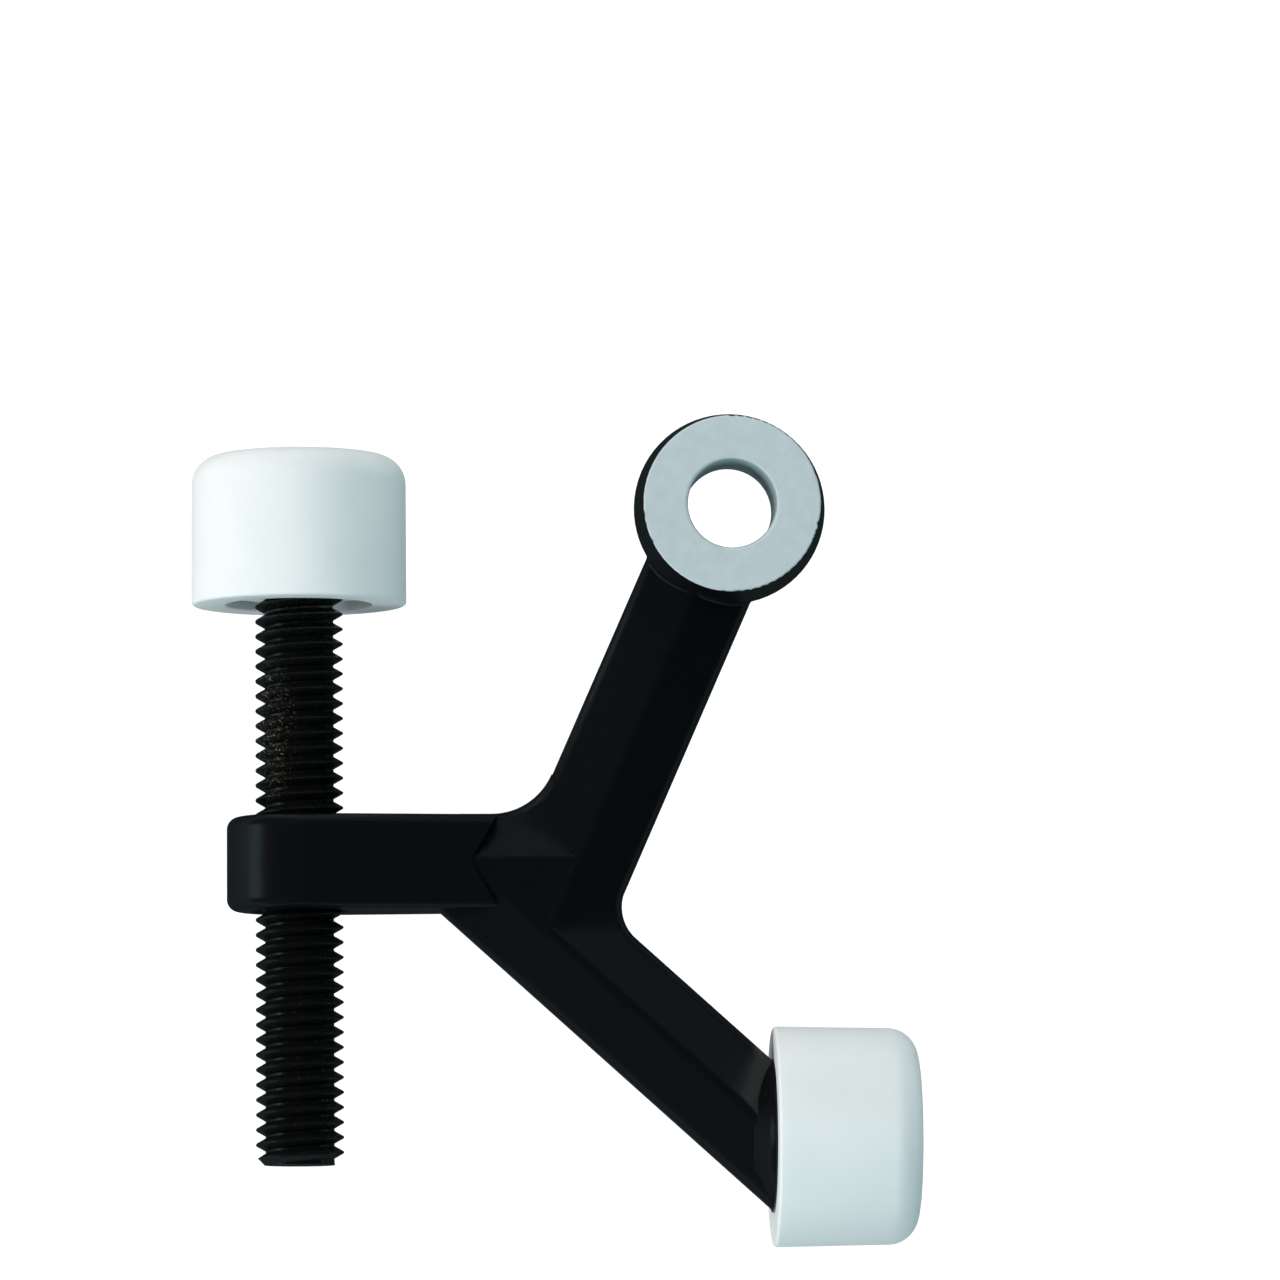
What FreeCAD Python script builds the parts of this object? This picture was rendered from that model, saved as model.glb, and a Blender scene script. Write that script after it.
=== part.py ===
import FreeCAD
import Part
import math
import os

os.makedirs("parts", exist_ok=True)

# All sizes are in millimetres. +Z is the hinge pin's axis, and Z = 0 is the eye's flat back face,
# which is also the plane that the casting is mirrored about.

# Eye that the hinge pin passes through
eye_bore_r = 4.68
eye_outer_r = 10.17
eye_taper = 0.75
eye_height = 9.2
eye_widest_z = 3.6
eye_back_taper = 0.37
eye_front_round = 0.25
eye_bore_round = 0.4
eye_relief = 0.5
eye_relief_spread = 2.4
eye_root_round = 0.4

# Ridged arms
ridge_z = 5.6
edge_z = 2.4
ridge_round = 1.25
edge_round = 1.9
upper_arm_deg = 66.65
upper_arm_half = 6.02
upper_arm_side = 0.3
lower_arm_deg = -42.05
lower_arm_off = 46.42
lower_arm_half = 5.86
bar_half = 5.25
web_drop = 0.24
web_top_drop = 0.4
left_corner_r = 7.0
right_corner_r = 4.5
corner_top_r = 1.2

# Threaded block
screw_x = -45.7
bar_y = -37.49
block_height = 9.98
nose_r = 7.7
tail_half = 5.0
block_edge = 1.25
notch_x = -27.7
notch_slope = 0.58
bar_overlap = 1.0
thread_major_r = 4.65
thread_gap = 0.1
mouth_chamfer = 0.5

# Boss disc for the fixed bumper, with a round-edged back
boss_y = -66.55
boss_r = 8.0
boss_back_x = 2.05
boss_back_y = -66.1
boss_back_r = 8.0
boss_back_round = 2.4
boss_back_flat_r = 5.0
boss_crown_x = 5.4
plug_overlap = 0.15
arm_end_x = 4.2

# Rubber bumpers: one moulding, a little wider and shorter where it is stretched over the boss
screw_bumper_rim_r = 11.42
screw_bumper_front_r = 11.38
screw_bumper_length = 15.98
arm_bumper_rim_r = 11.68
arm_bumper_front_r = 11.42
arm_bumper_length = 15.3
bumper_nose_round = 3.1
bumper_rim_round = 0.35
bumper_plug = 5.6
arm_bumper_x = 4.4
screw_bumper_y = -9.88
recess_r = 7.7
recess_depth = 1.0
lip_thickness = 1.0
lip_gap = 0.35
head_gap = 0.05

# Adjusting screw
head_r = 8.25
screw_end_y = -69.35
screw_chamfer = 0.85
thread_pitch = 1.5875
thread_depth = 1.01
thread_crest = 0.2

# Size of the blocks that trim the casting, and how near a point counts as on a surface
trim = 60.0
touch = 0.01

vec = FreeCAD.Vector
up = vec(0, 0, 1)


def polygon_solid(points, push):
    """A straight prism on a closed outline of corner points."""
    corners = list(points)
    corners.append(points[0])
    return Part.Face(Part.makePolygon(corners)).extrude(push)


def roof(start, end, half, slope):
    """Half a ridged arm above Z = 0, with its level ridge rounded."""
    along = end.sub(start)
    side = up.cross(along)
    side.normalize()
    lean = math.atan(slope)
    reach = ridge_round * math.sin(lean)
    low = ridge_z - slope * reach
    top = ridge_z - ridge_round * (1.0 / math.cos(lean) - 1.0)
    foot_left = start.sub(side * half)
    foot_right = start.add(side * half)
    edge_left = foot_left.add(up * edge_z)
    edge_right = foot_right.add(up * edge_z)
    near_left = start.sub(side * reach).add(up * low)
    near_right = start.add(side * reach).add(up * low)
    crest = start.add(up * top)
    edges = [
        Part.makeLine(foot_left, edge_left),
        Part.makeLine(edge_left, near_left),
        Part.Arc(near_left, crest, near_right).toShape(),
        Part.makeLine(near_right, edge_right),
        Part.makeLine(edge_right, foot_right),
        Part.makeLine(foot_right, foot_left),
    ]
    return Part.Face(Part.Wire(edges)).extrude(along)


def meet(point_a, run_a, point_b, run_b):
    """The crossing of two level lines, each given by a point and a direction."""
    cross = run_a.x * run_b.y - run_a.y * run_b.x
    gap = point_b.sub(point_a)
    step = (gap.x * run_b.y - gap.y * run_b.x) / cross
    return point_a.add(run_a * step)


def corner_wire(key, ridge_a, run_a, side_a, off_a, ridge_b, run_b, side_b, off_b, radius, level):
    """A level outline: an arc touching two offset lines, closed back to the ridges' crossing."""
    centre = meet(
        ridge_a.add(side_a * (off_a + radius)), run_a,
        ridge_b.add(side_b * (off_b + radius)), run_b)
    first = centre.sub(side_a * radius)
    last = centre.sub(side_b * radius)
    toward = key.sub(centre)
    toward.normalize()
    middle = centre.add(toward * radius)
    lift = up * level
    return Part.Wire([
        Part.Arc(first.add(lift), middle.add(lift), last.add(lift)).toShape(),
        Part.makeLine(last.add(lift), key.add(lift)),
        Part.makeLine(key.add(lift), first.add(lift)),
    ])


def corner_fill(key, line_a, line_b, radius):
    """The filled inner corner between two ridged arms."""
    ridge_a, run_a, side_a, half_a = line_a
    ridge_b, run_b, side_b, half_b = line_b
    cap_z = ridge_z - web_top_drop
    share = (ridge_z - cap_z) / (ridge_z - edge_z)
    low = corner_wire(key, ridge_a, run_a, side_a, half_a, ridge_b, run_b, side_b, half_b,
                      radius, edge_z)
    high = corner_wire(key, ridge_a, run_a, side_a, half_a * share, ridge_b, run_b, side_b,
                       half_b * share, corner_top_r, cap_z)
    slope_part = Part.makeLoft([low, high], True, True)
    base = Part.Face(low).extrude(up * -edge_z)
    return base.fuse(slope_part)


def turned(points_and_arcs, origin, axis):
    """A full turn of a closed outline about a line."""
    face = Part.Face(Part.Wire(points_and_arcs))
    return face.revolve(origin, axis, 360)


# Sizes that follow from the ones above
eye_front_r = eye_outer_r - eye_taper
eye_back_r = eye_outer_r - eye_back_taper
arm_root = (eye_bore_r + math.sqrt(eye_outer_r ** 2 - upper_arm_half ** 2)) / 2
notch_depth = 1.2 * block_height

# The three ridges, seen from the front
upper_run = vec(math.cos(math.radians(upper_arm_deg)), math.sin(math.radians(upper_arm_deg)), 0)
lower_run = vec(math.cos(math.radians(lower_arm_deg)), math.sin(math.radians(lower_arm_deg)), 0)
bar_run = vec(1, 0, 0)
upper_right = vec(upper_run.y, -upper_run.x, 0)
upper_left = upper_right * -1
lower_right = vec(-lower_run.y, lower_run.x, 0)
bar_up = vec(0, 1, 0)
arm_centre = vec(-upper_arm_side, 0, 0)
bar_point = vec(0, bar_y, 0)
lower_point = lower_right * -lower_arm_off
bar_upper = meet(bar_point, bar_run, arm_centre, upper_run)
bar_lower = meet(bar_point, bar_run, lower_point, lower_run)
upper_lower = meet(arm_centre, upper_run, lower_point, lower_run)
boss_point = meet(lower_point, lower_run, vec(boss_back_x, 0, 0), vec(0, 1, 0))

rise = ridge_z - edge_z
upper_arm = roof(upper_lower, upper_run * -arm_root, upper_arm_half, rise / upper_arm_half)
lower_arm = roof(bar_lower, boss_point.add(lower_run * 2 * lower_arm_half), lower_arm_half,
                 rise / lower_arm_half)
bar = roof(vec(notch_x - bar_overlap, bar_y, 0), bar_upper, bar_half, rise / bar_half)
web = polygon_solid([bar_upper, bar_lower, upper_lower], up * (ridge_z - web_drop))
left_fill = corner_fill(
    bar_upper,
    (bar_point, bar_run, bar_up, bar_half),
    (arm_centre, upper_run, upper_left, upper_arm_half),
    left_corner_r)
right_fill = corner_fill(
    upper_lower,
    (arm_centre, upper_run, upper_right, upper_arm_half),
    (lower_point, lower_run, lower_right, lower_arm_half),
    right_corner_r)
half = upper_arm.fuse([lower_arm, bar, web, left_fill, right_fill]).removeSplitter()

outline_edges = []
for edge in half.Edges:
    box = edge.BoundBox
    level = abs(box.ZMin - edge_z) < touch and abs(box.ZMax - edge_z) < touch
    if level and box.XMax > notch_x:
        outline_edges.append(edge)
half = half.makeFillet(edge_round, outline_edges).Solids[0]
other_half = half.mirror(vec(0, 0, 0), up)
arms = half.fuse(other_half).removeSplitter()

# The arms stop at the boss, and clear the hinge behind the eye
arms = arms.cut(Part.makeBox(trim, trim, trim, vec(arm_end_x, boss_y - trim / 2, -trim / 2)))
relief = Part.makeCone(
    eye_outer_r + eye_relief + eye_relief_spread, eye_outer_r + eye_relief, 2 * ridge_z,
    vec(0, 0, -2 * ridge_z))
arms = arms.cut(relief)

# Block with its round nose round the screw, thinner towards its notch, where the bar leaves it
block_low = bar_y - block_height / 2
block_high = bar_y + block_height / 2
tail_x = notch_x + notch_slope * block_height
tail_reach = math.hypot(tail_x - screw_x, tail_half)
face_turn = math.atan2(tail_half, tail_x - screw_x) + math.acos(nose_r / tail_reach)
nose_top = vec(screw_x + nose_r * math.cos(face_turn), block_low, nose_r * math.sin(face_turn))
nose_low = vec(nose_top.x, block_low, -nose_top.z)
nose_tip = vec(screw_x - nose_r, block_low, 0)
tail_top = vec(tail_x, block_low, tail_half)
tail_low = vec(tail_x, block_low, -tail_half)
block_wire = Part.Wire([
    Part.Arc(nose_low, nose_tip, nose_top).toShape(),
    Part.makeLine(nose_top, tail_top),
    Part.makeLine(tail_top, tail_low),
    Part.makeLine(tail_low, nose_low),
])
block = Part.Face(block_wire).extrude(vec(0, block_height, 0))
long_edges = []
for edge in block.Edges:
    box = edge.BoundBox
    if box.YLength < touch and box.XMin < tail_x - touch:
        long_edges.append(edge)
block = block.makeFillet(block_edge, long_edges)
notch = polygon_solid(
    [
        vec(notch_x, bar_y, -2 * nose_r),
        vec(notch_x + notch_slope * notch_depth, bar_y - notch_depth, -2 * nose_r),
        vec(notch_x + 2 * notch_depth, bar_y - notch_depth, -2 * nose_r),
        vec(notch_x + 2 * notch_depth, bar_y + notch_depth, -2 * nose_r),
        vec(notch_x + notch_slope * notch_depth, bar_y + notch_depth, -2 * nose_r),
    ],
    up * (4 * nose_r))
block = block.cut(notch)

# Eye ring, turned about Z
bore_knee = math.sqrt(0.5)
ring = turned(
    [
        Part.makeLine(vec(eye_bore_r, 0, 0), vec(eye_back_r, 0, 0)),
        Part.makeLine(vec(eye_back_r, 0, 0), vec(eye_outer_r, 0, eye_widest_z)),
        Part.makeLine(vec(eye_outer_r, 0, eye_widest_z),
                      vec(eye_front_r, 0, eye_height - eye_front_round)),
        Part.Arc(
            vec(eye_front_r, 0, eye_height - eye_front_round),
            vec(eye_front_r - eye_front_round * (1 - bore_knee), 0,
                eye_height - eye_front_round * (1 - bore_knee)),
            vec(eye_front_r - eye_front_round, 0, eye_height)).toShape(),
        Part.makeLine(
            vec(eye_front_r - eye_front_round, 0, eye_height),
            vec(eye_bore_r + eye_bore_round, 0, eye_height)),
        Part.Arc(
            vec(eye_bore_r + eye_bore_round, 0, eye_height),
            vec(eye_bore_r + eye_bore_round * (1 - bore_knee), 0,
                eye_height - eye_bore_round * (1 - bore_knee)),
            vec(eye_bore_r, 0, eye_height - eye_bore_round)).toShape(),
        Part.makeLine(vec(eye_bore_r, 0, eye_height - eye_bore_round), vec(eye_bore_r, 0, 0)),
    ],
    vec(0, 0, 0), up)

# Boss disc, turned about its own axis along X
boss_end_x = arm_bumper_x + bumper_plug
dome_arc_y = boss_back_y + boss_back_r - boss_back_round
dome_flat_y = boss_back_y + boss_back_flat_r
dome_reach = math.hypot(boss_crown_x - boss_back_x, dome_arc_y - dome_flat_y)
dome_turn = (math.pi + math.atan2(dome_arc_y - dome_flat_y, boss_crown_x - boss_back_x)
             - math.acos(boss_back_round / dome_reach))
dome_points = []
for turn in (dome_turn, (dome_turn + math.pi / 2) / 2, math.pi / 2):
    dome_points.append(vec(
        boss_crown_x + boss_back_round * math.cos(turn),
        dome_arc_y + boss_back_round * math.sin(turn), 0))
dome = turned(
    [
        Part.makeLine(vec(boss_back_x, boss_back_y, 0), vec(boss_back_x, dome_flat_y, 0)),
        Part.makeLine(vec(boss_back_x, dome_flat_y, 0), dome_points[0]),
        Part.Arc(dome_points[0], dome_points[1], dome_points[2]).toShape(),
        Part.makeLine(dome_points[2], vec(boss_crown_x, boss_back_y, 0)),
        Part.makeLine(vec(boss_crown_x, boss_back_y, 0), vec(boss_back_x, boss_back_y, 0)),
    ],
    vec(0, boss_back_y, 0), vec(1, 0, 0))
dome = dome.cut(Part.makeBox(trim, trim, trim, vec(arm_bumper_x, boss_y - trim / 2, -trim / 2)))
plug_x = arm_bumper_x - plug_overlap
plug = Part.makeCylinder(boss_r, boss_end_x - plug_x, vec(plug_x, boss_y, 0), vec(1, 0, 0))

# Screw hole through the block
hole_r = thread_major_r + thread_gap
hole = Part.makeCylinder(hole_r, 3 * block_height, vec(screw_x, bar_y - 1.5 * block_height, 0),
                         vec(0, 1, 0))
low_mouth = Part.makeCone(
    hole_r + mouth_chamfer, hole_r, mouth_chamfer, vec(screw_x, block_low, 0), vec(0, 1, 0))
high_mouth = Part.makeCone(
    hole_r, hole_r + mouth_chamfer, mouth_chamfer, vec(screw_x, block_high - mouth_chamfer, 0),
    vec(0, 1, 0))
cast_body = arms.fuse([block, ring, dome, plug]).cut(hole).cut(low_mouth).cut(high_mouth)
cast_body = cast_body.removeSplitter().Solids[0]


def wall_radius(height):
    """Radius of the eye's outer wall at a height above its back face."""
    if height < eye_widest_z:
        return eye_back_r + (eye_outer_r - eye_back_r) * height / eye_widest_z
    share = (height - eye_widest_z) / (eye_height - eye_front_round - eye_widest_z)
    return eye_outer_r + (eye_front_r - eye_outer_r) * share


# Small round where the arm meets the eye's wall
root_edges = []
for edge in cast_body.Edges:
    box = edge.BoundBox
    ends = [edge.valueAt(edge.FirstParameter), edge.valueAt(edge.LastParameter),
            edge.valueAt((edge.FirstParameter + edge.LastParameter) / 2)]
    on_wall = all(abs(math.hypot(p.x, p.y) - wall_radius(p.z)) < touch for p in ends)
    crosses = box.YLength > touch and box.DiagonalLength < eye_outer_r
    if on_wall and crosses and box.ZMin > -touch and touch < box.ZMax < ridge_z:
        root_edges.append(edge)
cast_body = cast_body.makeFillet(eye_root_round, root_edges)


def bumper(origin, out, side, rim_r, front_r, length, hollow):
    """A rubber cap turned about the line from its open end to its round-edged front."""
    def at(along, radius):
        return origin.add(out * along).add(side * radius)

    knee = 1 - math.sqrt(0.5)
    crown = length - bumper_nose_round
    inside = [at(along, radius) for along, radius in hollow]
    edges = Part.makePolygon(inside).Edges
    edges.extend([
        Part.makeLine(inside[-1], at(0, rim_r - bumper_rim_round)),
        Part.Arc(
            at(0, rim_r - bumper_rim_round),
            at(bumper_rim_round * knee, rim_r - bumper_rim_round * knee),
            at(bumper_rim_round, rim_r)).toShape(),
        Part.makeLine(at(bumper_rim_round, rim_r), at(crown, front_r)),
        Part.Arc(
            at(crown, front_r),
            at(length - bumper_nose_round * knee, front_r - bumper_nose_round * knee),
            at(length, front_r - bumper_nose_round)).toShape(),
        Part.makeLine(at(length, front_r - bumper_nose_round), at(length, 0)),
        Part.makeLine(at(length, 0), inside[0]),
    ])
    return turned(edges, origin, out)


arm_hollow = [(bumper_plug, 0), (bumper_plug, boss_r), (0, boss_r)]
arm_bumper = bumper(
    vec(arm_bumper_x, boss_y, 0), vec(1, 0, 0), vec(0, 1, 0),
    arm_bumper_rim_r, arm_bumper_front_r, arm_bumper_length, arm_hollow)

# The cap on the screw has a recessed mouth, and a lip that keeps the screw's head in
lip_r = thread_major_r + lip_gap
lip_top = recess_depth + lip_thickness
head_room = lip_top + bumper_plug
screw_hollow = [
    (head_room, 0),
    (head_room, head_r + head_gap),
    (lip_top, head_r + head_gap),
    (lip_top, lip_r),
    (recess_depth, lip_r),
    (recess_depth, recess_r),
    (0, recess_r),
]
screw_bumper = bumper(
    vec(screw_x, screw_bumper_y, 0), vec(0, 1, 0), vec(1, 0, 0),
    screw_bumper_rim_r, screw_bumper_front_r, screw_bumper_length, screw_hollow)

# Screw with its round head inside the cap. The thread is level rings of the thread's pitch and
# depth, so that it turns and slides in its plain hole; the true helix is left to the look.
head_low = screw_bumper_y + lip_top + head_gap
head_high = screw_bumper_y + head_room - head_gap
thread_start = screw_end_y + screw_chamfer
thread_count = int((head_low - thread_start - thread_crest) / thread_pitch)
thread_flank = thread_depth * math.tan(math.radians(30))
thread_root_r = thread_major_r - thread_depth
screw_outline = [
    (0, screw_end_y),
    (thread_major_r - screw_chamfer, screw_end_y),
    (thread_major_r, thread_start),
]
for turn in range(thread_count):
    low = thread_start + turn * thread_pitch
    screw_outline.extend([
        (thread_major_r, low + thread_crest),
        (thread_root_r, low + thread_crest + thread_flank),
        (thread_root_r, low + thread_pitch - thread_flank),
        (thread_major_r, low + thread_pitch),
    ])
screw_outline.extend([
    (thread_major_r, head_low),
    (head_r, head_low),
    (head_r, head_high),
    (0, head_high),
    (0, screw_end_y),
])
screw_corners = [vec(screw_x + radius, height, 0) for radius, height in screw_outline]
adjusting_screw = turned(
    Part.makePolygon(screw_corners).Edges, vec(screw_x, 0, 0), vec(0, 1, 0))

pieces = {
    "cast_body": cast_body,
    "adjusting_screw": adjusting_screw,
    "screw_bumper": screw_bumper,
    "arm_bumper": arm_bumper,
}
for name, shape in pieces.items():
    solid = shape
    if shape.ShapeType != "Solid":
        solid = shape.Solids[0]
    print(name, "valid", shape.isValid(), "solids", len(shape.Solids), "volume", round(shape.Volume, 1))
    solid.exportStep("parts/" + name + ".step")
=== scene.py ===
import math

import bmesh
import bpy
from mathutils import Matrix, Vector


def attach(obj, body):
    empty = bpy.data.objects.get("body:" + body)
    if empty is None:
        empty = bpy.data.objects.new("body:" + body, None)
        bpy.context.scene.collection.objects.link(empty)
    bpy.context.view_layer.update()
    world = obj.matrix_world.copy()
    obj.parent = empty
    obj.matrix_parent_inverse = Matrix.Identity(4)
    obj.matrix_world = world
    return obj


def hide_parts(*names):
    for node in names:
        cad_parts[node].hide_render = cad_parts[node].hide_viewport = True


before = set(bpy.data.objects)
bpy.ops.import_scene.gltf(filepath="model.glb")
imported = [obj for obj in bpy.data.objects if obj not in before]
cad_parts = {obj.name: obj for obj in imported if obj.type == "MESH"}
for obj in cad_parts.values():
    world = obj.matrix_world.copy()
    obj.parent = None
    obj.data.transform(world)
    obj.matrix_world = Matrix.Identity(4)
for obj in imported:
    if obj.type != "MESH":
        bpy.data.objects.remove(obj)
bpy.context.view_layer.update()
print("frame loaded")

mm = 0.001


# materials

def linear(hexColour):
    channels = [int(hexColour[i:i + 2], 16) / 255 for i in (0, 2, 4)]
    return [c / 12.92 if c <= 0.04045 else ((c + 0.055) / 1.055) ** 2.4 for c in channels] + [1.0]


def addNode(tree, kind, settings=None, values=None, links=None):
    node = tree.nodes.new(kind)
    for name, value in (settings or {}).items():
        setattr(node, name, value)
    for name, value in (values or {}).items():
        node.inputs[name].default_value = value
    for name, source in (links or {}).items():
        tree.links.new(source, node.inputs[name])
    return node


def newMaterial(name):
    material = bpy.data.materials.new(name)
    material.use_nodes = True
    tree = material.node_tree
    tree.nodes.clear()
    return material, tree


def millimetres(tree, centre=(0, 0, 0), scale=(1, 1, 1)):
    # object coordinates in millimetres, counted from a point and squashed where asked
    coords = addNode(tree, "ShaderNodeTexCoord")
    moved = addNode(tree, "ShaderNodeVectorMath", {"operation": "SUBTRACT"},
                    {1: [c * mm for c in centre]}, {0: coords.outputs["Object"]})
    scaled = addNode(tree, "ShaderNodeVectorMath", {"operation": "MULTIPLY"},
                     {1: [s / mm for s in scale]}, {0: moved.outputs[0]})
    return scaled.outputs[0]


def grain(tree, vector, size, detail=3.0, rough=0.55):
    # noise whose lumps are about size millimetres wide
    node = addNode(tree, "ShaderNodeTexNoise", None,
                   {"Scale": 1.0 / size, "Detail": detail, "Roughness": rough}, {"Vector": vector})
    return node.outputs["Fac"]


def ramp(tree, value, low, high, outLow=0.0, outHigh=1.0):
    node = addNode(tree, "ShaderNodeMapRange", {"interpolation_type": "SMOOTHSTEP"},
                   {"From Min": low, "From Max": high, "To Min": outLow, "To Max": outHigh},
                   {"Value": value})
    return node.outputs[0]


def sumUp(tree, operation, first, second):
    values = {}
    links = {}
    for slot, item in ((0, first), (1, second)):
        if isinstance(item, (int, float)):
            values[slot] = item
        else:
            links[slot] = item
    return addNode(tree, "ShaderNodeMath", {"operation": operation}, values, links).outputs[0]


def blendColour(tree, factor, first, second):
    values = {}
    links = {0: factor}
    for slot, item in ((6, first), (7, second)):
        if isinstance(item, str):
            values[slot] = linear(item)
        else:
            links[slot] = item
    return addNode(tree, "ShaderNodeMix", {"data_type": "RGBA"}, values, links).outputs[2]


def blendValue(tree, factor, first, second):
    values = {}
    links = {0: factor}
    for slot, item in ((2, first), (3, second)):
        if isinstance(item, (int, float)):
            values[slot] = item
        else:
            links[slot] = item
    return addNode(tree, "ShaderNodeMix", {"data_type": "FLOAT"}, values, links).outputs[0]


casting = {
    "paint": "0a0b0d",
    "paintWorn": "0c0d0f",
    "bareZinc": "d4e1e5",
    "bareShade": "bccbcf",
    # bare zinc painted darker inside the bore, as painted shade in the hole
    "boreZincPaintedShade": "9aaeb2",
    "zincMetal": 0.2,
    "paintRoughness": 0.24,
    "zincRoughness": 0.5,
    "boreRadius": 4.68,
    "faceRadius": 9.5,
    "faceHeight": 9.2,
    "raggedGrain": 0.9,
    "raggedReach": 0.9,
    "broadGrain": 5.0,
    "broadReach": 1.2,
    "edgeSoftness": 0.1,
    "peelGrain": 0.5,
    "peelDepth": 0.01,
    "waveGrain": 3.5,
    "waveDepth": 0.03,
}


def paintedZincCasting():
    # near-black satin enamel on a smooth zinc die casting: soft reflections, faint orange peel;
    # the eye's front face and bore were masked, so the zinc there is bare with a ragged paint edge
    material, tree = newMaterial("satinEnamelOnDieCastZinc")
    place = millimetres(tree)
    flat = millimetres(tree, scale=(1, 1, 0))
    radius = addNode(tree, "ShaderNodeVectorMath", {"operation": "LENGTH"}, None, {0: flat})
    height = addNode(tree, "ShaderNodeSeparateXYZ", None, None, {0: place})
    ragged = sumUp(tree, "SUBTRACT", grain(tree, place, casting["raggedGrain"], 4.0, 0.7), 0.5)
    broad = sumUp(tree, "SUBTRACT", grain(tree, place, casting["broadGrain"], 1.0), 0.5)
    edge = sumUp(tree, "ADD", sumUp(tree, "MULTIPLY", ragged, casting["raggedReach"]),
                 sumUp(tree, "MULTIPLY", broad, casting["broadReach"]))
    outer = sumUp(tree, "ADD", radius.outputs["Value"], edge)
    insideFace = ramp(tree, outer, casting["faceRadius"] + casting["edgeSoftness"],
                      casting["faceRadius"] - casting["edgeSoftness"])
    onTop = ramp(tree, height.outputs[2], casting["faceHeight"] - 0.16, casting["faceHeight"] - 0.08)
    face = sumUp(tree, "MULTIPLY", insideFace, onTop)
    bore = ramp(tree, sumUp(tree, "ADD", radius.outputs["Value"],
                            sumUp(tree, "MULTIPLY", ragged, 0.5)),
                casting["boreRadius"] + 0.45, casting["boreRadius"] + 0.3)
    bare = sumUp(tree, "MAXIMUM", face, bore)
    paintColour = blendColour(tree, grain(tree, place, 4.0), casting["paint"], casting["paintWorn"])
    zincColour = blendColour(tree, grain(tree, place, 1.5, 5.0), casting["bareZinc"],
                             casting["bareShade"])
    # inside the bore the bare zinc takes the darker colour: painted shade in the hole, not a
    # different finish
    bareColour = blendColour(tree, face, casting["boreZincPaintedShade"], zincColour)
    colour = blendColour(tree, bare, paintColour, bareColour)
    paintRough = sumUp(tree, "ADD", casting["paintRoughness"],
                       sumUp(tree, "MULTIPLY", grain(tree, place, 1.2, 5.0), 0.12))
    rough = blendValue(tree, bare, paintRough, casting["zincRoughness"])
    metal = sumUp(tree, "MULTIPLY", bare, casting["zincMetal"])
    peel = addNode(tree, "ShaderNodeBump", None,
                   {"Strength": 0.35, "Distance": casting["peelDepth"] * mm},
                   {"Height": grain(tree, place, casting["peelGrain"], 4.0)})
    waves = addNode(tree, "ShaderNodeBump", None,
                    {"Strength": 0.5, "Distance": casting["waveDepth"] * mm},
                    {"Height": grain(tree, place, casting["waveGrain"], 1.0),
                     "Normal": peel.outputs[0]})
    shader = addNode(tree, "ShaderNodeBsdfPrincipled", None, {"IOR": 1.45},
                     {"Base Color": colour, "Roughness": rough, "Metallic": metal,
                      "Normal": waves.outputs[0]})
    addNode(tree, "ShaderNodeOutputMaterial", None, None, {"Surface": shader.outputs[0]})
    return material


screw = {
    "x": -45.7,
    "end": -69.35,
    "headLow": -7.83,
    "headHigh": -2.33,
    "headRadius": 8.25,
    "majorRadius": 4.65,
    "rootRadius": 3.64,
    "pitch": 1.5875,
    "phase": -0.145,
    "stepsPerTurn": 48,
    "crestBlend": 0.04,
    "chamfer": 0.95,
    "tipSlope": 1.1,
    "headBackRound": 0.3,
    "headRimRound": 0.8,
    "headSteps": 96,
    "black": "0b0c0c",
    "worn": "8c8866",
    "speckGrain": 0.32,
    "pitGrain": 0.35,
    "pitDepth": 0.02,
    # where the thread is rubbed, and how fast that fades along each axis
    "wearPlace": (-48.6, -23.5, 3.0),
    "wearSpread": (0.42, 0.14, 0.3),
    "roughness": 0.17,
}


def blackOxideSteel():
    # rolled steel thread with black oxide: oily dark sheen, worn to a dull straw on the flanks
    material, tree = newMaterial("blackOxideRolledSteel")
    place = millimetres(tree)
    specks = ramp(tree, grain(tree, place, screw["speckGrain"], 4.0, 0.7), 0.58, 0.66)
    rubbed = addNode(tree, "ShaderNodeVectorMath", {"operation": "LENGTH"}, None,
                     {0: millimetres(tree, screw["wearPlace"], screw["wearSpread"])})
    patches = ramp(tree, rubbed.outputs["Value"], 1.3, 0.5, 0.03, 1.0)
    worn = sumUp(tree, "MULTIPLY", specks, patches)
    colour = blendColour(tree, worn, screw["black"], screw["worn"])
    rough = sumUp(tree, "ADD", screw["roughness"],
                  sumUp(tree, "MULTIPLY", grain(tree, place, 0.6, 5.0), 0.2))
    pits = addNode(tree, "ShaderNodeBump", None,
                   {"Strength": 0.5, "Distance": screw["pitDepth"] * mm},
                   {"Height": grain(tree, place, screw["pitGrain"], 5.0, 0.7)})
    shader = addNode(tree, "ShaderNodeBsdfPrincipled", None, {"IOR": 1.5},
                     {"Base Color": colour, "Roughness": rough, "Normal": pits.outputs[0]})
    addNode(tree, "ShaderNodeOutputMaterial", None, None, {"Surface": shader.outputs[0]})
    return material


bumper = {
    "white": "e4eaea",
    "shade": "dde4e4",
    "roughness": 0.5,
    "translucence": 0.3,
    "scatter": 1.5,
    "toneGrain": 5.0,
    "rubGrain": 1.5,
    "skinGrain": 0.4,
    "skinDepth": 0.01,
    "noseRound": 3.1,
    "rimRound": 0.35,
    "mouthRound": 0.3,
    "steps": 128,
}

# the cap on the screw's head: a recessed mouth, then a lip that keeps the head in;
# hollow lists radius and depth from the closed end out to the mouth
screwCap = {
    "place": (-45.7, -9.88, 0),
    "rimRadius": 11.42,
    "frontRadius": 11.38,
    "length": 15.98,
    "hollow": [(0, 7.6), (8.3, 7.6), (8.3, 2.0), (5.0, 2.0), (5.0, 1.0), (7.7, 1.0), (7.7, 0)],
}

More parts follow.
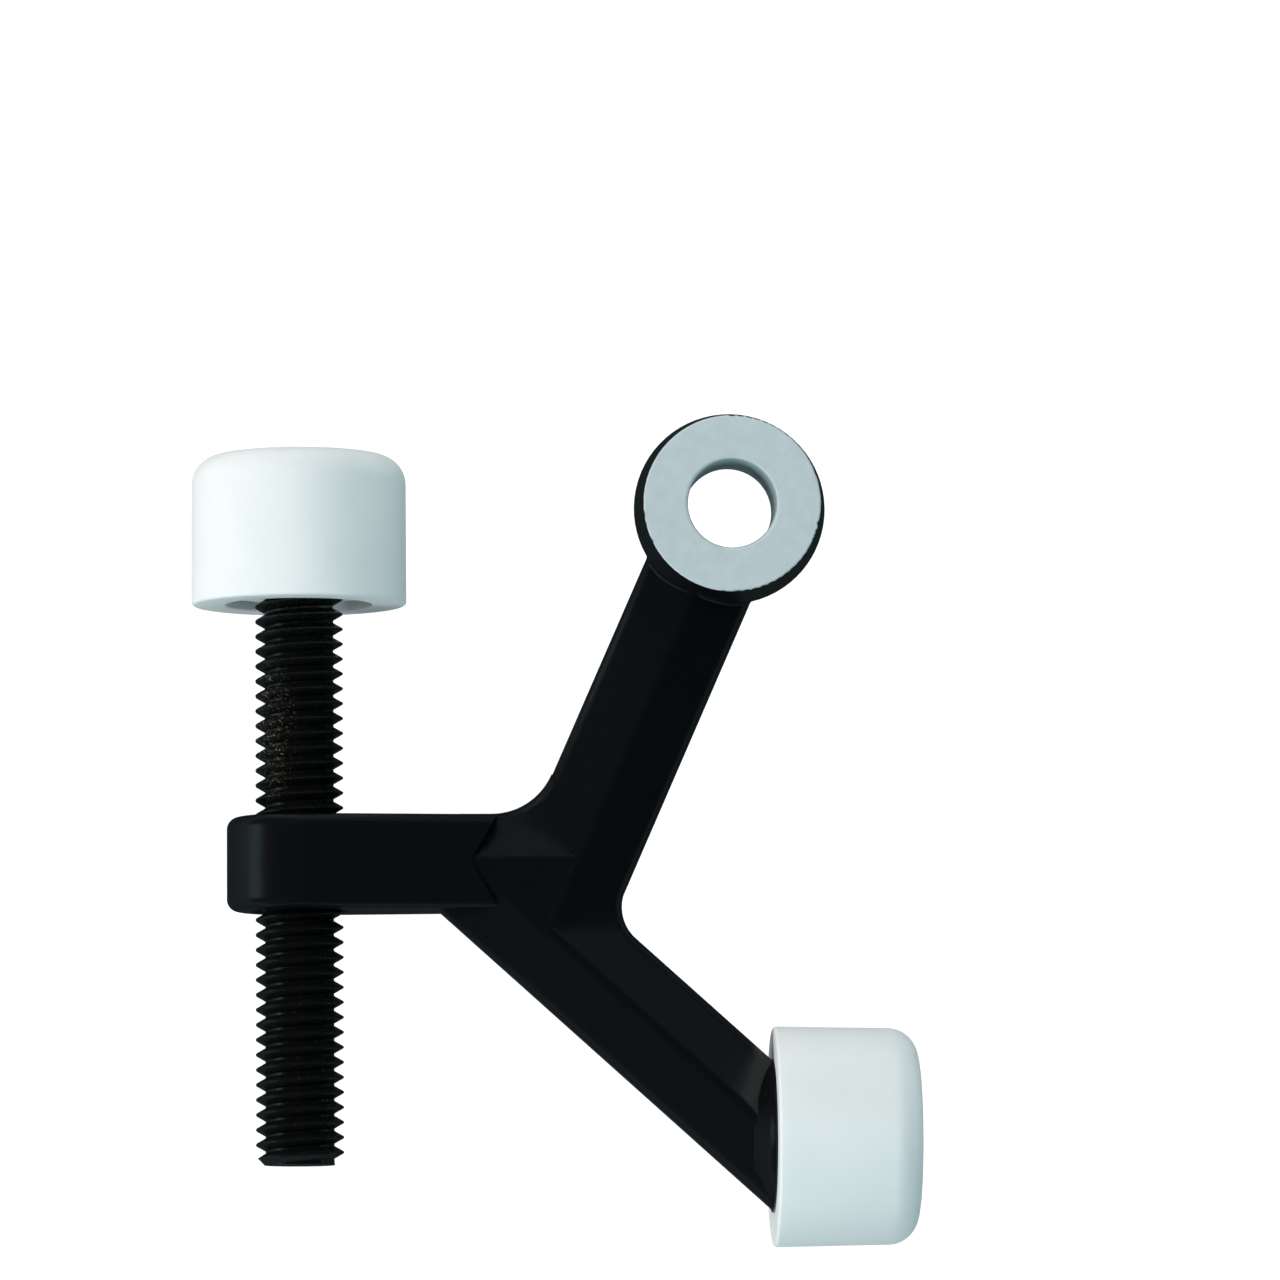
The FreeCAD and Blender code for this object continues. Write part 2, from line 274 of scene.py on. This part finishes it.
# the cap pressed over the boss is a little stretched
armCap = {
    "place": (4.4, -66.55, 0),
    "rimRadius": 11.68,
    "frontRadius": 11.42,
    "length": 15.3,
    "hollow": [(0, 5.6), (8.0, 5.6), (8.0, 0)],
}


def whiteMouldedRubber():
    # smooth compression-moulded white rubber: soft, slightly translucent, matte,
    # with faint handling marks
    material, tree = newMaterial("whiteMouldedRubber")
    place = millimetres(tree)
    colour = blendColour(tree, grain(tree, place, bumper["toneGrain"], 4.0), bumper["white"],
                         bumper["shade"])
    rough = sumUp(tree, "ADD", bumper["roughness"] - 0.05,
                  sumUp(tree, "MULTIPLY", grain(tree, place, bumper["rubGrain"], 4.0), 0.1))
    skin = addNode(tree, "ShaderNodeBump", None,
                   {"Strength": 0.2, "Distance": bumper["skinDepth"] * mm},
                   {"Height": grain(tree, place, bumper["skinGrain"], 3.0)})
    shader = addNode(tree, "ShaderNodeBsdfPrincipled", None,
                     {"IOR": 1.5, "Subsurface Weight": bumper["translucence"],
                      "Subsurface Scale": bumper["scatter"] * mm, "Subsurface Radius": (1, 1, 1)},
                     {"Base Color": colour, "Roughness": rough, "Normal": skin.outputs[0]})
    addNode(tree, "ShaderNodeOutputMaterial", None, None, {"Surface": shader.outputs[0]})
    return material


castingMaterial = paintedZincCasting()
screwMaterial = blackOxideSteel()
rubberMaterial = whiteMouldedRubber()
print("materials made")


# pieces

def meshPiece(name, bm, material, body, smoothAngle=35):
    bmesh.ops.remove_doubles(bm, verts=bm.verts, dist=0.001 * mm)
    bmesh.ops.recalc_face_normals(bm, faces=bm.faces)
    for face in bm.faces:
        face.smooth = True
    for edge in bm.edges:
        if len(edge.link_faces) == 2 and edge.calc_face_angle() > math.radians(smoothAngle):
            edge.smooth = False
    mesh = bpy.data.meshes.new(name)
    bm.to_mesh(mesh)
    bm.free()
    piece = bpy.data.objects.new(name, mesh)
    bpy.context.scene.collection.objects.link(piece)
    piece.data.materials.append(material)
    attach(piece, body)
    return piece


def spunProfile(corners, rounds, steps):
    # corners are (radius, along) in millimetres; rounds gives a corner its radius and segments
    bm = bmesh.new()
    points = [bm.verts.new((r * mm, y * mm, 0)) for r, y in corners]
    for first, second in zip(points, points[1:]):
        bm.edges.new((first, second))
    for index, (size, segments) in rounds.items():
        bmesh.ops.bevel(bm, geom=[points[index]], offset=size * mm, offset_type="OFFSET",
                        affect="VERTICES", segments=segments, profile=0.5, material=-1)
    bmesh.ops.spin(bm, geom=bm.verts[:] + bm.edges[:], cent=(0, 0, 0), axis=(0, 1, 0),
                   angle=math.tau, steps=steps, use_merge=True)
    return bm


def makeBumper(name, cap, turn, body, node):
    corners = cap["hollow"] + [(cap["rimRadius"], 0), (cap["frontRadius"], cap["length"]),
                               (0, cap["length"])]
    rim = len(corners) - 3
    rounds = {rim + 1: (bumper["noseRound"], 14), rim: (bumper["rimRound"], 5),
              rim - 1: (bumper["mouthRound"], 4)}
    bm = spunProfile(corners, rounds, bumper["steps"])
    move = Matrix.Translation(Vector(cap["place"]) * mm)
    bmesh.ops.transform(bm, matrix=move @ turn, verts=bm.verts)
    piece = meshPiece(name, bm, rubberMaterial, body)
    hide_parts(node)


makeBumper("screwBumperCap", screwCap, Matrix.Identity(4), "cap", "screw_bumper")
makeBumper("armBumperCap", armCap, Matrix.Rotation(-math.pi / 2, 4, "Z"), "casting", "arm_bumper")
print("bumpers made")


def makeScrew():
    s = screw
    pitch = s["pitch"]
    top = s["headLow"] + 0.1
    turns = math.ceil((top - s["end"]) / pitch) + 2
    bm = bmesh.new()
    # the section of one thread: share of the pitch and radius
    root, crest = s["rootRadius"], s["majorRadius"]
    shoulder = crest - s["crestBlend"]
    rows = [(0.0, root), (0.07, root), (0.42, shoulder), (0.45, crest),
            (0.55, crest), (0.58, shoulder), (0.93, root), (1.0, root)]
    base = s["end"] - 1.5 * pitch + s["phase"] * pitch
    points = [bm.verts.new((r * mm, (base + part * pitch) * mm, 0)) for part, r in rows]
    for first, second in zip(points, points[1:]):
        bm.edges.new((first, second))
    steps = turns * s["stepsPerTurn"]
    bmesh.ops.spin(bm, geom=bm.verts[:] + bm.edges[:], cent=(0, 0, 0), axis=(0, 1, 0),
                   dvec=(0, pitch * mm / s["stepsPerTurn"], 0), angle=math.tau * turns, steps=steps)
    bmesh.ops.remove_doubles(bm, verts=bm.verts, dist=0.002 * mm)
    for vert in bm.verts:
        # the tip is turned down to a cone
        above = max(vert.co.y - s["end"] * mm, 0)
        limit = (s["majorRadius"] - s["chamfer"]) * mm + above * s["tipSlope"]
        reach = math.hypot(vert.co.x, vert.co.z)
        if reach > limit:
            vert.co.x *= limit / reach
            vert.co.z *= limit / reach
    for height, keep in ((s["end"], "inner"), (top, "outer")):
        cut = bmesh.ops.bisect_plane(
            bm, geom=bm.verts[:] + bm.edges[:] + bm.faces[:], dist=0.0001 * mm,
            plane_co=(0, height * mm, 0), plane_no=(0, 1, 0),
            clear_inner=keep == "inner", clear_outer=keep == "outer")
        rim = [item for item in cut["geom_cut"] if isinstance(item, bmesh.types.BMEdge)]
        bmesh.ops.holes_fill(bm, edges=rim, sides=0)
    head = spunProfile(
        [(0, s["headLow"]), (s["headRadius"], s["headLow"]), (s["headRadius"], s["headHigh"]),
         (0, s["headHigh"])],
        {1: (s["headBackRound"], 4), 2: (s["headRimRound"], 5)}, s["headSteps"])
    spare = bpy.data.meshes.new("headSpare")
    head.to_mesh(spare)
    head.free()
    bm.from_mesh(spare)
    bpy.data.meshes.remove(spare)
    bmesh.ops.translate(bm, vec=(s["x"] * mm, 0, 0), verts=bm.verts)
    piece = meshPiece("threadedAdjustingScrew", bm, screwMaterial, "screw", 50)
    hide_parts("adjusting_screw")


makeScrew()
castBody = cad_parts["cast_body"]
castBody.data.materials.clear()
castBody.data.materials.append(castingMaterial)
print("screw and casting dressed")


# studio

studio = {
    "cameraPlace": (-53.03, -102.59, 903.5),
    "cameraAim": (-9.41, -13.62, 0),
    "cameraRoll": 0.35,
    "lens": 240,
    "sensor": 36,
    "floorHeight": -60,
    "floorSize": 3.0,
    "floorWhite": "bdbdbd",
    "floorGlow": 0.62,
    # how bright the floor looks in the paint's reflections, near the part and far from it: a painted
    # reflection glow, darker near the part as painted shade
    "floorReach": (60, 330),
    "floorNear": 0.04,
    "floorFar": 0.24,
    "floorColour": "d6f6fc",
    "roomDark": 0.012,
    "cardColour": "c8eeff",
    "lampDistance": 1.2,
    "lampSize": 0.5,
}


def makeFloor():
    bm = bmesh.new()
    bmesh.ops.create_grid(bm, x_segments=1, y_segments=1, size=studio["floorSize"])
    bmesh.ops.translate(bm, vec=(0, 0, studio["floorHeight"] * mm), verts=bm.verts)
    mesh = bpy.data.meshes.new("paperFloor")
    bm.to_mesh(mesh)
    bm.free()
    floor = bpy.data.objects.new("paperFloor", mesh)
    bpy.context.scene.collection.objects.link(floor)
    material, tree = newMaterial("whitePaperSweep")
    rays = addNode(tree, "ShaderNodeLightPath")
    seen = sumUp(tree, "MAXIMUM", rays.outputs["Is Camera Ray"], rays.outputs["Is Transmission Ray"])
    paper = addNode(tree, "ShaderNodeBsdfDiffuse", None, {"Color": linear(studio["floorWhite"])})
    glow = addNode(tree, "ShaderNodeEmission", None,
                   {"Color": (1, 1, 1, 1), "Strength": studio["floorGlow"]})
    both = addNode(tree, "ShaderNodeAddShader", None, None, {0: paper.outputs[0], 1: glow.outputs[0]})
    # in reflections the floor is a glow rather than lit paper, dimmed near the part as painted shade
    # round it
    away = addNode(tree, "ShaderNodeVectorMath", {"operation": "LENGTH"}, None,
                   {0: millimetres(tree, scale=(1, 1, 0))})
    shade = ramp(tree, away.outputs["Value"], *studio["floorReach"], studio["floorNear"],
                 studio["floorFar"])
    dim = addNode(tree, "ShaderNodeEmission", None, {"Color": linear(studio["floorColour"])},
                  {"Strength": shade})
    lit = addNode(tree, "ShaderNodeMixShader", None, None,
                  {0: rays.outputs["Is Glossy Ray"], 1: paper.outputs[0], 2: dim.outputs[0]})
    shown = addNode(tree, "ShaderNodeMixShader", None, None,
                    {0: seen, 1: lit.outputs[0], 2: both.outputs[0]})
    addNode(tree, "ShaderNodeOutputMaterial", None, None, {"Surface": shown.outputs[0]})
    material.cycles.emission_sampling = "NONE"
    mesh.materials.append(material)


def wayTo(azimuth, zenith):
    azimuth, zenith = math.radians(azimuth), math.radians(zenith)
    return Vector((math.sin(zenith) * math.cos(azimuth), math.sin(zenith) * math.sin(azimuth),
                   math.cos(zenith)))


# what the paint mirrors: azimuth, zenith angle, full and outer radius in degrees, strength
cards = [
    (180, 76, 6, 16, 1.15),
    (90, 62, 11, 26, 0.22),
    (48, 57, 8, 22, 0.18),
    (-132, 57, 10, 30, 0.04),
    (-90, 84, 3, 9, 0.35),
]


def makeSky():
    # a dark room with a few soft white cards round the part, like a tabletop set
    world = bpy.data.worlds.new("tabletopSet")
    bpy.context.scene.world = world
    world.use_nodes = True
    tree = world.node_tree
    tree.nodes.clear()
    rays = addNode(tree, "ShaderNodeLightPath")
    coords = addNode(tree, "ShaderNodeTexCoord")
    total = studio["roomDark"]
    for azimuth, zenith, full, outer, strength in cards:
        near = addNode(tree, "ShaderNodeVectorMath", {"operation": "DOT_PRODUCT"},
                       {1: wayTo(azimuth, zenith)}, {0: coords.outputs["Generated"]})
        card = ramp(tree, near.outputs["Value"], math.cos(math.radians(outer)),
                    math.cos(math.radians(full)), 0.0, strength)
        total = sumUp(tree, "ADD", card, total)
    room = addNode(tree, "ShaderNodeBackground", None, {"Color": linear(studio["cardColour"])},
                   {"Strength": total})
    plain = addNode(tree, "ShaderNodeBackground", None, {"Color": (1, 1, 1, 1), "Strength": 1.0})
    shown = addNode(tree, "ShaderNodeMixShader", None, None,
                    {0: rays.outputs["Is Camera Ray"], 1: room.outputs[0], 2: plain.outputs[0]})
    addNode(tree, "ShaderNodeOutputWorld", None, None, {"Surface": shown.outputs[0]})


# lamps that only light, and show in no reflection: name, azimuth and zenith angle, watts, colour
lamps = [
    ("lampLeft", (180, 65), 8.95, "fff7f4"),
    ("lampAbove", (120, 30), 6.0, "ffffff"),
    ("lampTop", (85, 70), 4.6, "fff8f6"),
    ("lampRight", (15, 62), 3.9, "dcf9ff"),
    ("lampLowLeft", (-125, 72), 5.5, "f2fdff"),
    ("lampLowRight", (-65, 68), 4.1, "dcf9ff"),
]


def makeLamp(name, direction, power, colour):
    light = bpy.data.lights.new(name, "AREA")
    light.size = studio["lampSize"]
    light.energy = power
    light.color = linear(colour)[:3]
    lamp = bpy.data.objects.new(name, light)
    centre = Vector(studio["cameraAim"]) * mm
    way = wayTo(*direction)
    lamp.location = centre + way * studio["lampDistance"]
    lamp.rotation_euler = way.to_track_quat("Z", "Y").to_euler()
    lamp.visible_glossy = False
    bpy.context.scene.collection.objects.link(lamp)


makeFloor()
makeSky()
for name, direction, power, colour in lamps:
    makeLamp(name, direction, power, colour)

camera = bpy.data.objects.new("camera", bpy.data.cameras.new("camera"))
bpy.context.scene.collection.objects.link(camera)
camera.data.lens = studio["lens"]
camera.data.sensor_width = studio["sensor"]
camera.data.clip_start = 0.01
camera.location = Vector(studio["cameraPlace"]) * mm
back = (camera.location - Vector(studio["cameraAim"]) * mm).normalized()
side = Vector((0, 1, 0)).cross(back).normalized()
side.rotate(Matrix.Rotation(math.radians(-studio["cameraRoll"]), 3, back))
camera.rotation_euler = Matrix((side, back.cross(side), back)).transposed().to_euler()
bpy.context.scene.camera = camera
bpy.context.scene.view_settings.view_transform = "Standard"
print("studio set")
